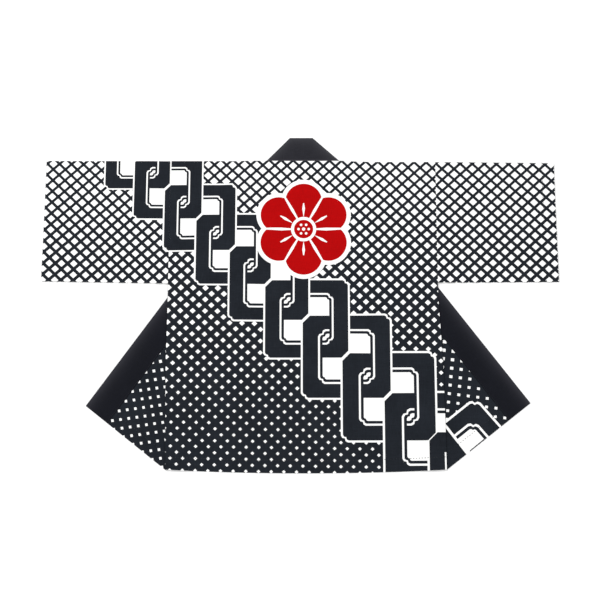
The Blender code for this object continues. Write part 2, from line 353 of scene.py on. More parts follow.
class Chain:
    """Interlocked links: upright bands pass over level ones, and bands over holes."""

    def __init__(self, links, origin=(0.0, 0.0), across=(1.0, 0.0), up=(0.0, 1.0)):
        self.origin = at(*origin)
        self.axes = np.column_stack((at(*across), at(*up)))
        self.inverse = np.linalg.inv(self.axes)
        self.links = [link_rings(*link) for link in links]

    def outlines(self, area):
        return [self.origin + ring @ self.axes.T for rings in self.links for ring in rings]

    def colours(self, points):
        place = (points - self.origin) @ self.inverse.T
        colour = np.full(len(points), NOTHING)
        rank = np.zeros(len(points), int)
        for rings in self.links:
            level = sum(inside(ring, place).astype(int) for ring in rings)
            hole = rings[-1]
            upright = (place[:, 0] < hole[:, 0].min()) | (place[:, 0] > hole[:, 0].max())
            white = (level % 2 == 1)
            # 0 off the link, 1 its hole, 2 a level band, 3 and 4 the line and the ink of an upright one
            here = np.where(level == 0, 0, np.where(level == 5, 1, np.where(upright, 4 - white, 2)))
            wins = here > rank
            colour[wins] = np.where(white, WHITE, INK)[wins]
            rank = np.maximum(rank, here)
        return colour


class Patches:
    """Plain shapes, each painted over the ones before it."""

    def __init__(self, shapes):
        self.shapes = [(np.asarray(outline), colour) for outline, colour in shapes]

    def outlines(self, area):
        return [outline for outline, colour in self.shapes]

    def colours(self, points):
        colour = np.full(len(points), NOTHING)
        for outline, paint in self.shapes:
            colour[inside(outline, points)] = paint
        return colour


def turn(vector, degrees):
    cosine, sine = math.cos(math.radians(degrees)), math.sin(math.radians(degrees))
    return at(vector[0] * cosine - vector[1] * sine, vector[0] * sine + vector[1] * cosine)


def round_outline(centre, radius, count):
    angles = [2.0 * math.pi * i / count for i in range(count)]
    return np.array([centre + at(radius * math.cos(angle), radius * math.sin(angle)) for angle in angles])


def spindle(centre, out, tip, *marks):
    """A thin shape along a direction, from its tip through marks of distance and half width."""
    side = at(-out[1], out[0])
    there = [centre + out * reach - side * half for reach, half in marks]
    back = [centre + out * reach + side * half for reach, half in marks[::-1]]
    return np.array([centre + out * tip] + there + back)


BLOSSOM = (0.0085, 0.181)   # the red blossom on the back
PETALS = 6
PETAL_REACH = 0.070         # from its middle to a petal's
PETAL_WIDE = 0.045          # radius of a petal,
PETAL_RIM = 0.0105          # and width of the white rim round it
PETAL_GAP = (0.0, (0.055, 0.0036), (0.098, 0.0020))      # white between two petals,
PETAL_VEIN = (0.030, (0.052, 0.0034), (0.066, 0.0012))   # and down a petal's middle
HEART_RADII = (0.031, 0.0235)        # its white and its red disc
DOT_REACH = 0.0125          # dots stand round its heart at this distance,
DOT_RADII = (0.0032, 0.0042)         # smaller than the one in the middle


def blossom():
    """Six round petals parted by white slits, a ringed heart, and a white rim round it all."""
    rim, petals, slits, dots = [], [], [], []
    centre = at(*BLOSSOM)
    for i in range(PETALS):
        degrees = 360.0 / PETALS * i
        out = pointing(90.0 + degrees)
        petal = centre + out * PETAL_REACH
        rim.append((round_outline(petal, PETAL_WIDE + PETAL_RIM, 48), WHITE))
        petals.append((round_outline(petal, PETAL_WIDE, 48), RED))
        slits.append((spindle(centre, turn(out, 180.0 / PETALS), *PETAL_GAP), WHITE))
        slits.append((spindle(centre, out, *PETAL_VEIN), WHITE))
        dots.append((round_outline(centre + pointing(degrees) * DOT_REACH, DOT_RADII[0], 12), WHITE))
    middle = [(round_outline(centre, PETAL_REACH, 48), RED)]
    heart = [(round_outline(centre, radius, 40), colour) for radius, colour in zip(HEART_RADII, (WHITE, RED))]
    dots.append((round_outline(centre, DOT_RADII[1], 14), WHITE))
    return Patches(rim + middle + petals + slits + heart + dots)


def chain_links(first, last):
    """Boxes of the chain's links, from the one numbered first, as left, high, wide and tall."""
    links = []
    for number in range(first, last + 1):
        size = LINK_GROWTH ** number
        run = (size - 1.0) / (LINK_GROWTH - 1.0)
        wide = LINK_WIDE * size / (1.0 - 2.0 * LINK_LINE)
        line = LINK_LINE * wide
        links.append((LINK_START[0] + LINK_STEP[0] * run - line, LINK_START[1] + LINK_STEP[1] * run + line,
                      wide, LINK_HIGH * size + 2.0 * line))
    return links


class Print:
    """A lattice with figures over it; the last figure that covers a point gives its colour."""

    def __init__(self, lattice, figures):
        self.lattice = lattice
        self.figures = figures

    def colours(self, points):
        colour = self.lattice.colours(points)
        for figure in self.figures:
            over = figure.colours(points)
            colour = np.where(over == NOTHING, colour, over)
        return colour

    def covered(self, points):
        hidden = np.zeros(len(points), bool)
        for figure in self.figures:
            hidden |= figure.colours(points) != NOTHING
        return hidden

    def outlines(self, area):
        diamonds = np.array(self.lattice.outlines(area))
        hidden = self.covered(diamonds.reshape(-1, 2)).reshape(len(diamonds), -1).all(axis=1)
        shapes = list(diamonds[~hidden])
        for figure in self.figures:
            shapes += figure.outlines(area)
        return shapes


def own_height(points):
    return points[:, 1]


def sleeve_height(points):
    """Height of sleeve cloth, which passes over the shoulder fold and down the front."""
    return np.minimum(points[:, 1], 2.0 * SHOULDER_Y - points[:, 1])


def flap_height(side):
    """Cloth height over a folded flap: the distance from its own hem."""
    up = square_to(unit(side["corner"] - side["flap"]), side["seam_head"] - side["flap"])
    return lambda points: SIDE_HEM_Y + (points - side["flap"]) @ up


def hem_chain():
    """The chain down the back; its last link rises a little, and the one before it is shorter."""
    *links, shorter, last = chain_links(-3, 9)
    left, high, wide, tall = shorter
    links.append((left, high, wide, tall - 0.0100))
    left, high, wide, tall = last
    links.append((left, high + 0.0075, wide, tall))
    return Chain(links)


CHAIN = hem_chain()
# the white line between the last link and the side seam
LAST_LINE = Patches([([(0.3426, -0.3660), (0.3464, -0.3660), (0.3468, -0.4160), (0.3430, -0.4160)], WHITE)])
BACK_PRINT = Print(Lattice((-0.1130, -0.3399), (0.02999, -0.00044), (-0.00023, -0.02849),
                           own_height, BODY_SHARES), [CHAIN, LAST_LINE, blossom()])
SLEEVE_PRINTS = {
    "left": Print(Lattice((-0.4919, 0.1203), (0.0298, -0.00061), (0.00004, -0.02808),
                          sleeve_height, SLEEVE_SHARES), [CHAIN]),
    "right": Print(Lattice((0.4858, 0.1371), (0.0300, -0.00036), (-0.0001, -0.0280),
                           sleeve_height, SLEEVE_SHARES), []),
}
FLAP_APEX = (0.4190, -0.2332)        # the corner of the link on the right flap,
FLAP_LINK = 0.260           # its width and height,
FLAP_BAND = 0.130           # and its bands' share of that
FLAP_ACROSS = unit(at(0.786, 0.618))
FLAP_UP = unit(at(-0.648, 0.762))
FLAP_CHAIN = Chain([(-FLAP_LINK, 0.0, FLAP_LINK, FLAP_LINK, FLAP_BAND, FLAP_BAND)],
                   FLAP_APEX, FLAP_ACROSS, FLAP_UP)


def next_band():
    """The next link: its upright band passes over the flap's link, and its level band meets the hem as an ink
    strip, widened to paint the shadow along the hem's edge.
    """
    head = at(0.3474, -0.3045)
    down = unit(at(0.0472, -0.0618))
    aside = at(down[1], -down[0])
    line = 0.0060
    # its far corners lie past the hem or under the back, where nothing shows
    high, low = head - down * 0.05, head + down * 0.16
    beyond = [low + aside * 0.12, high + aside * 0.12]
    half_line = aside * line * 0.5
    white = [high - half_line, low - half_line] + beyond
    dark = [high + half_line, low + half_line] + beyond
    # an ink strip along the hem, where the next link's level band lies, widened as painted shadow at the
    # hem's edge
    level = [at(0.4363, -0.3345), at(0.4026, -0.3616), at(0.4026, -0.3800), at(0.4500, -0.3400)]
    return Patches([(white, WHITE), (dark, INK), (level, INK)])


FLAP_PRINTS = {
    "left": Print(Lattice((-0.4089, -0.2852), (0.02328, -0.0179), (0.01536, 0.0234),
                          flap_height(PLANS["left"]), BODY_SHARES), []),
    "right": Print(Lattice((0.4095, -0.1700), (0.02502, 0.01759), (0.02022, -0.02341),
                           flap_height(PLANS["right"]), BODY_SHARES), [FLAP_CHAIN, next_band()]),
}


# ---- materials

def node(tree, kind, **settings):
    """A new node; settings that aren't sockets are its own, and _ in a socket's name is a space."""
    made = tree.nodes.new(kind)
    for key, value in settings.items():
        socket = made.inputs.get(key.replace("_", " "))
        if socket:
            socket.default_value = value
        else:
            setattr(made, key, value)
    return made


EDGE_LIGHT_REACH = 0.011           # how far the painted highlight reaches in from a folded edge
YARN = (900.0, 70.0)        # noise per metre across and along a yarn,
SLUB = (240.0, 22.0)        # and a slub, which is a thicker length of yarn
DYE_PATCHES = 13.0          # per metre
WEAVE_BANDS = 330.0         # scale of the weave in relief
CONTRAST = 0.30             # share of the noises' range that runs from dark to light
ROUGHNESS_SWING = 0.08      # roughness varies this much either way
COLOUR_A, COLOUR_B, COLOUR_OUT = 6, 7, 2     # sockets of a mix node set to colours


def cotton(name, colour, thread=0.16, mottle=0.10, roughness=0.86, sheen=0.25, gloss=0.25, painted_edge_light=None):
    """Plain-woven cotton: warp and weft threads, slubs, uneven dye, and a weave in relief.

    Where an edge colour is given, the colour is lightened towards it along the cloth's folded edges: a
    painted highlight.
    """
    material = bpy.data.materials.new(name)
    material.use_nodes = True
    tree = material.node_tree
    shader = tree.nodes["Principled BSDF"]
    cloth = node(tree, "ShaderNodeUVMap", uv_map="cloth").outputs["UV"]

    def noise_map(x_scale, y_scale, detail):
        mapping = node(tree, "ShaderNodeMapping", Scale=(x_scale, y_scale, 1.0))
        grain = node(tree, "ShaderNodeTexNoise", Scale=1.0, Detail=detail, Roughness=0.55)
        tree.links.new(cloth, mapping.inputs["Vector"])
        tree.links.new(mapping.outputs["Vector"], grain.inputs["Vector"])
        return grain.outputs["Fac"]

    def maths(how, *values):
        made = node(tree, "ShaderNodeMath", operation=how)
        for socket, value in zip(made.inputs, values):
            if isinstance(value, float):
                socket.default_value = value
            else:
                tree.links.new(value, socket)
        return made.outputs[0]

    def mixed_colours(share, first, second):
        made = node(tree, "ShaderNodeMix", data_type="RGBA")
        tree.links.new(share, made.inputs[0])
        for socket, value in ((COLOUR_A, first), (COLOUR_B, second)):
            if isinstance(value, bpy.types.NodeSocket):
                tree.links.new(value, made.inputs[socket])
            else:
                made.inputs[socket].default_value = (*value, 1.0)
        return made.outputs[COLOUR_OUT]

    threads = maths("ADD", noise_map(*YARN, 1.0), noise_map(*YARN[::-1], 1.0))
    slubs = maths("ADD", noise_map(*SLUB, 2.0), noise_map(*SLUB[::-1], 2.0))
    patches = maths("ADD", noise_map(DYE_PATCHES, DYE_PATCHES, 4.0), maths("MULTIPLY", slubs, 0.5))
    shade = maths("ADD", maths("MULTIPLY", threads, thread), maths("MULTIPLY", patches, mottle))
    middle = thread + mottle
    ramp = node(tree, "ShaderNodeMapRange", From_Min=middle - middle * CONTRAST,
                From_Max=middle + middle * CONTRAST)
    tree.links.new(shade, ramp.inputs["Value"])
    swing = thread + mottle * 0.5
    dyed = mixed_colours(ramp.outputs["Result"], [channel * (1.0 - swing) for channel in colour],
                         [min(channel * (1.0 + swing), 1.0) for channel in colour])
    # painted highlight: near the folded edges the colour is lightened towards the given edge colour
    if painted_edge_light:
        depth = node(tree, "ShaderNodeAttribute", attribute_name="from_edge").outputs["Fac"]
        dyed = mixed_colours(maths("EXPONENT", maths("MULTIPLY", depth, -1.0 / EDGE_LIGHT_REACH)), dyed, painted_edge_light)
    tree.links.new(dyed, shader.inputs["Base Color"])
    rough = node(tree, "ShaderNodeMapRange", To_Min=roughness - ROUGHNESS_SWING,
                 To_Max=roughness + ROUGHNESS_SWING)
    tree.links.new(threads, rough.inputs["Value"])
    tree.links.new(rough.outputs["Result"], shader.inputs["Roughness"])
    shader.inputs["Sheen Weight"].default_value = sheen
    shader.inputs["Sheen Roughness"].default_value = 0.5
    shader.inputs["Specular IOR Level"].default_value = gloss
    bands = []
    for way in "XY":
        wave = node(tree, "ShaderNodeTexWave", wave_type="BANDS", bands_direction=way, Scale=WEAVE_BANDS)
        tree.links.new(cloth, wave.inputs["Vector"])
        bands.append(wave.outputs["Fac"])
    bump = node(tree, "ShaderNodeBump", Strength=0.35, Distance=0.00025)
    tree.links.new(maths("ADD", maths("MULTIPLY", *bands), maths("MULTIPLY", threads, 0.8)),
                   bump.inputs["Height"])
    tree.links.new(bump.outputs["Normal"], shader.inputs["Normal"])
    return material


PRINTED = [
    cotton("ink_cotton", (0.0131, 0.0157, 0.0206), thread=0.20, mottle=0.30, sheen=0.02, gloss=0.05),
    cotton("white_cotton", (0.88, 0.88, 0.87), thread=0.035, mottle=0.03, sheen=0.1),
    cotton("red_cotton", (0.392, 0.0014, 0.0020), thread=0.12, sheen=0.02, gloss=0.05),
]
REVERSE = [
    cotton("ink_cotton_reverse", (0.060, 0.062, 0.078)),
    cotton("white_cotton_reverse", (0.74, 0.74, 0.74), thread=0.05, mottle=0.05, sheen=0.1),
    cotton("red_cotton_reverse", (0.50, 0.035, 0.035), thread=0.12),
]
# the neck's cloth is the legs' cloth painted lighter all over, which is painted light; both are painted
# lighter towards their free edges as a painted highlight
COLLAR_CLOTHS = [
    cotton("collar_cotton", (0.0078, 0.0084, 0.0120), thread=0.22, mottle=0.16, sheen=0.02, gloss=0.05,
           painted_edge_light=(0.036, 0.036, 0.044)),
    cotton("neck_cotton", (0.0195, 0.0195, 0.0245), thread=0.22, mottle=0.16, sheen=0.02, gloss=0.05,
           painted_edge_light=(0.046, 0.046, 0.053)),
]
INK_THREAD = cotton("ink_thread", (0.014, 0.016, 0.021), thread=0.25, sheen=0.1)


# ---- cutting a panel along its print and laying it

CREASE_BOW = 0.6            # a ridge bends aside by this times its run squared
# soft ridges of cloth that lies loosely: middle, direction in degrees, length, half width and height
CREASES = (
    (-0.225, 0.060, 24.0, 0.30, 0.030, 0.0021),
    (0.235, 0.050, -31.0, 0.26, 0.026, 0.0018),
    (-0.150, -0.215, 78.0, 0.34, 0.034, 0.0019),
    (0.120, -0.120, -84.0, 0.40, 0.040, 0.0022),
    (0.030, 0.270, 4.0, 0.38, 0.030, 0.0014),
    (0.215, -0.290, 61.0, 0.22, 0.024, 0.0016),
    (-0.060, -0.330, -12.0, 0.28, 0.028, 0.0012),
    (-0.455, 0.205, 8.0, 0.24, 0.028, 0.0018),
    (-0.560, 0.120, -38.0, 0.15, 0.022, 0.0014),
    (0.470, 0.180, -6.0, 0.23, 0.030, 0.0019),
    (0.575, 0.265, 33.0, 0.14, 0.022, 0.0014),
)


def creases(points):
    """Height of the soft ridges at each point."""
    raised = np.zeros(len(points))
    for x, y, degrees, length, wide, height in CREASES:
        along = pointing(degrees)
        off = points - at(x, y)
        run = off @ along
        aside = off @ at(-along[1], along[0]) - run * run * CREASE_BOW
        rise = (1.0 + np.cos(math.pi * np.clip(aside / wide, -1.0, 1.0))) * 0.5
        fade = (1.0 + np.cos(math.pi * np.clip(run * 2.0 / length, -1.0, 1.0))) * 0.5
        raised = np.maximum(raised, height * rise * fade)
    return raised


def relief(points, seed, height=RELIEF, size=0.10):
    """Soft undulations of cloth that lies loosely, always upwards."""
    wave = [noise.noise(Vector((p[0] / size, p[1] / size * 0.8, seed))) for p in points]
    return height * (0.5 + 0.5 * np.clip(np.array(wave) * 1.6, -1.0, 1.0))


def looseness(points, edge, seed):
    """Height of loose cloth over its supports, by its distance from an edge."""
    return (relief(points, seed) + creases(points)) * smooth(edge / RELIEF_FADE)


MERGE = 0.000002            # points of a cut nearer than this become one
NO_AREA = 1e-13             # triangles of no more than this are left out


def cut_panel(outline, artwork, seam_lines=(), grid=0.012, extra=()):
    """Divide a flat outline into triangles along the print's edges; gives points, triangles, colours."""
    outline = np.asarray(outline, float)
    spots, edges = [], []

    def add_line(line, closed):
        start = len(spots)
        spots.extend(line)
        count = len(line)
        edges.extend((start + i, start + (i + 1) % count) for i in range(count if closed else count - 1))

    add_line(outline, True)
    low, high = outline.min(axis=0), outline.max(axis=0)
    for shape in artwork.outlines(outline):
        if (shape.max(axis=0) > low).all() and (shape.min(axis=0) < high).all():
            add_line(shape, True)
    for line in seam_lines:
        add_line(line, False)
    xs = np.arange(low[0] + grid * 0.5, high[0], grid)
    ys = np.arange(low[1] + grid * 0.5, high[1], grid)
    lattice = np.array([(x, y) for x in xs for y in ys])
    lattice = lattice[inside(outline, lattice) & artwork.covered(lattice)] if artwork.figures else []
    spots.extend(lattice)
    spots.extend(extra)
    flat = [Vector((float(p[0]), float(p[1]))) for p in spots]
    points, _, faces, *_ = delaunay_2d_cdt(flat, edges, [], 0, MERGE, False)
    points = np.array([(p.x, p.y) for p in points])
    faces = np.array(faces)
    faces = faces[inside(outline, points[faces].mean(axis=1))]
    sides = points[faces]
    turned = np.cross(sides[:, 1] - sides[:, 0], sides[:, 2] - sides[:, 0])
    solid = np.abs(turned) > NO_AREA
    faces, turned = faces[solid], turned[solid]
    faces[turned < 0.0] = faces[turned < 0.0][:, ::-1]
    used, faces = np.unique(faces, return_inverse=True)
    points, faces = points[used], faces.reshape(-1, 3)
    return points, faces, artwork.colours(points[faces].mean(axis=1))


def normals_of(lay, points):
    """Unit normals of a laid surface, from short steps along the flat cut."""
    step = 0.0002
    along_x = lay(points + at(step, 0.0)) - lay(points - at(step, 0.0))
    along_y = lay(points + at(0.0, step)) - lay(points - at(0.0, step))
    normal = np.cross(along_x, along_y)
    return normal / np.linalg.norm(normal, axis=1)[:, None]


def new_mesh(name, spots, polygons, materials, indexes):
    mesh = bpy.data.meshes.new(name)
    mesh.from_pydata(np.asarray(spots).tolist(), [], polygons)
    for material in materials:
        mesh.materials.append(material)
    mesh.polygons.foreach_set("material_index", indexes)
    return mesh


def corners_of(mesh):
    """Number of the vertex at each corner of each face."""
    corners = np.zeros(len(mesh.loops), int)
    mesh.loops.foreach_get("vertex_index", corners)
    return corners


def add_map(mesh, name, places):
    mesh.uv_layers.new(name=name).data.foreach_set("uv", places.ravel())


def placed(name, data):
    """An object in the scene, made of a mesh, a light or a camera."""
    made = bpy.data.objects.new(name, data)
    bpy.context.scene.collection.objects.link(made)
    return made


SHARP = math.radians(50.0)  # faces that meet at more than this show an edge


def shell(name, cut, lay):
    """Lay a cut panel in space as a closed shell, printed on its upper side."""
    points, faces, colours = cut
    middle = lay(points)
    normal = normals_of(lay, points) * (WALL * 0.5)
    count = len(points)
    colour_at = {}
    for face, colour in zip(faces.tolist(), colours.tolist()):
        for i in range(3):
            colour_at[(face[i], face[(i + 1) % 3])] = colour
    rim = sorted(pair for pair in colour_at if pair[::-1] not in colour_at)
    polygons = faces.tolist() + (faces[:, ::-1] + count).tolist()
    polygons += [[a, a + count, b + count, b] for a, b in rim]
    indexes = colours.tolist() + (colours + len(PRINTED)).tolist() + [colour_at[pair] for pair in rim]
    spots = np.vstack((middle + normal, middle - normal))
    mesh = new_mesh(name, spots, polygons, PRINTED + REVERSE, indexes)
    corners = corners_of(mesh)
    add_map(mesh, "cloth", np.vstack((points, points))[corners])
    add_map(mesh, "OFBake", bake_places(points, corners, len(faces), len(rim)))
    mesh.shade_smooth()
    mesh.set_sharp_from_angle(angle=SHARP)
    mesh.validate()
    return placed(name, mesh)


# widths on a shell's bake map, where its upper side, its rim and its lower side lie side by side
UPPER_WIDE = 0.70
LOWER_WIDE = 0.26
RIM_WIDE = 0.007
RIM_LEFT = 0.7165           # where the rim's strip begins
MAP_GAP = 0.01              # round the sides
MAP_HIGH = 0.98


def bake_places(points, corners, face_count, rim_count):
    """Places of a shell's corners on its bake map."""
    low, high = points.min(axis=0), points.max(axis=0)
    flat = (points - low) / (high - low)
    lower_left = UPPER_WIDE + MAP_GAP * 3.0
    sides = np.vstack((flat * (UPPER_WIDE, MAP_HIGH) + (MAP_GAP, MAP_GAP),
                       flat * (LOWER_WIDE, MAP_HIGH) + (lower_left, MAP_GAP)))
    bake = sides[corners]
    left, right = RIM_LEFT, RIM_LEFT + RIM_WIDE
    for i in range(rim_count):
        start = face_count * 6 + i * 4
        low, high = i / rim_count, (i + 0.9) / rim_count
        bake[start:start + 4] = ((left, low), (right, low), (right, high), (left, high))
    return bake


# ---- the back

def hem_y(x):
    """Height of the back's hem at x, slightly bowed."""
    left, right = PLANS["left"]["corner"][0], PLANS["right"]["corner"][0]
    share = (np.asarray(x) - left) / (right - left)
    return SIDE_HEM_Y - HEM_DIP * (1.0 - (2.0 * share - 1.0) ** 2)


def back_rim():
    """The back's outline."""
    left, right = SIDES["left"], SIDES["right"]
    top = SHOULDER_Y - SEAM_GAP
    sunk = top - STRAY["right"]["shoulder_sinks"]
    left_edge = [at(side_x(left, y), y) for y in np.linspace(top, SIDE_HEM_Y, 26)]
    right_edge = [at(side_x(right, y), y) for y in np.linspace(SIDE_HEM_Y, sunk, 26)]
    hem = [at(x, hem_y(x)) for x in np.linspace(left_edge[-1][0], right_edge[0][0], 40)]
    slope = [at(right["neck_x"] + run, top + (sunk - top) * float(smooth(run / 0.05)))
             for run in np.linspace(0.05, 0.0, 6)]
    return left_edge[:-1] + hem + right_edge[1:] + slope


def hem_line(inset):
    """A line on the back at a distance from its hem."""
    left, right = side_x(SIDES["left"], SIDE_HEM_Y), side_x(SIDES["right"], SIDE_HEM_Y)
    return [at(x, hem_y(x) + inset) for x in np.linspace(left + NEAR_EDGE, right - NEAR_EDGE, 60)]


def hem_rise(depth):
    """Extra height of a turned hem, by the distance from its edge."""
    return HEM_STEP * (1.0 - smooth((depth - HEM_TURN) / STEP_RUN))


def seam_fall(depth):
    """How far cloth rolls down towards a seam."""
    return SEAM_DROP * (1.0 - smooth(depth / SEAM_ROLL))


def lay_back(points):
    to_left = points[:, 0] - side_x(SIDES["left"], points[:, 1])
    to_right = side_x(SIDES["right"], points[:, 1]) - points[:, 0]
    to_top = SHOULDER_Y - points[:, 1]
    to_hem = points[:, 1] - hem_y(points[:, 0])
    edge = np.minimum(np.minimum(to_left, to_right), np.minimum(to_top, to_hem))
    seam = np.minimum(np.minimum(to_left, to_right), to_top)
    height = back_floor(points) + CLOTH * 0.5 + looseness(points, edge, 3.0)
    return np.column_stack((points, height + hem_rise(to_hem) - seam_fall(seam)))


def make_back():
    lines = [hem_line(depth) for depth in HEM_STEPS]
    top = SHOULDER_Y - SEAM_GAP
    for row, way in ((SIDES["left"], 1), (SIDES["right"], -1)):
        for depth in SEAM_STEPS:
            lines.append([at(side_x(row, y) + way * depth, y) for y in np.linspace(-0.405, top - 0.0030, 50)])
    return shell("back_panel", cut_panel(back_rim(), BACK_PRINT, lines), lay_back)


# ---- the fronts

def fold_radius(points):
    """Half the gap between a front's upper part and its flap, at points along the fold."""
    return front_floor(points) * 0.5


class Front:
    """A front in the plane of its flap: the upper part is unfolded inwards across the fold."""

    def __init__(self, side):
        self.side = side
        self.foot = side["fold_foot"]
        self.out = side["outboard"]
        self.along = side["inwards"]
        middle = (side["fold_foot"] + side["fold_head"]) * 0.5
        self.turn = math.pi * float(fold_radius(middle[None])[0])
        self.hem_along = unit(side["corner"] - side["seam_foot"])
        self.hem_up = square_to(self.hem_along, side["seam_head"] - side["seam_foot"])

    def unfolded(self, spot):
        """Where a spot of the upper part lies in the flap's plane."""
        off = spot - self.foot
        return self.foot + self.along * (off @ self.along) - self.out * (off @ self.out + self.turn)

    def outline(self):
        side = self.side
        row = side["row"]
        seam_gap = side["across"] * -0.00025
        top = SHOULDER_Y - SEAM_GAP - side["stray"]["shoulder_sinks"]
        edge = [self.unfolded(at(side_x(row, y), y)) for y in np.linspace(SIDE_HEM_Y, top, 24)]
        neck = self.unfolded(at(side["neck"][0], top))
        head = self.unfolded(side["fold_head"])
        return [side["seam_foot"] + seam_gap, side["corner"], self.foot, self.unfolded(self.foot)] + edge + \
            [neck, head, side["fold_head"], side["seam_head"] + seam_gap]

    def lay(self, points):
        side = self.side
        off = points - self.foot
        out = off @ self.out
        up = off @ self.along
        fold = self.foot + up[:, None] * self.along
        radius = np.maximum(fold_radius(fold), 0.0002)
        angle = np.clip(-out / self.turn, 0.0, 1.0) * math.pi
        bent_out = -radius * np.sin(angle)
        bent_z = CLOTH * 0.5 + radius * (1.0 - np.cos(angle))
        beyond = np.maximum(-out - self.turn, 0.0)
        spread = np.where(out > 0.0, out, np.where(out > -self.turn, bent_out, beyond))
        plane = fold + spread[:, None] * self.out
        upper_z = front_floor(plane) + CLOTH * 0.5
        flap_z = np.full(len(points), CLOTH * 0.5)
        height = np.where(out > 0.0, flap_z, np.where(out > -self.turn, bent_z, upper_z))
        to_seam = (points - side["seam_foot"]) @ side["across"]
        hem = self.to_hem(points)
        height = height + np.where(out > 0.0, hem_rise(hem) - 0.5 * seam_fall(to_seam), 0.0)
        return np.column_stack((plane, height))

    def to_hem(self, points):
        return (points - self.side["seam_foot"]) @ self.hem_up

    def hem_line(self, inset):
        """A line on the flap at a distance from its hem, from the collar seam to the fold."""
        start = self.side["seam_foot"]
        base = start + self.hem_up * inset
        seam_side = start + self.side["across"] * 0.001
        fold_side = self.foot + self.out * 0.0005
        seam = cross_point(base, self.hem_along, seam_side, self.side["edge_along"])
        fold = cross_point(base, self.hem_along, fold_side, self.along)
        return [seam + (fold - seam) * share for share in np.linspace(0.0, 1.0, 24)]

    def fold_lines(self):
        """Lines along the fold, close enough for a round bend."""
        length = np.linalg.norm(self.side["fold_head"] - self.foot)
        lines = []
        for share in np.linspace(0.0, 1.0, 7):
            start = self.foot - self.out * self.turn * share
            places = [0.004 + 0.992 * s for s in np.linspace(0.0, 1.0, 30)]
            lines.append([start + self.along * length * place for place in places])
        return lines


def make_front(name, key):
    front = Front(PLANS[key])
    lines = [front.hem_line(depth) for depth in HEM_STEPS] + front.fold_lines()
    return shell(name, cut_panel(front.outline(), FLAP_PRINTS[key], lines), front.lay), front


# ---- the sleeves

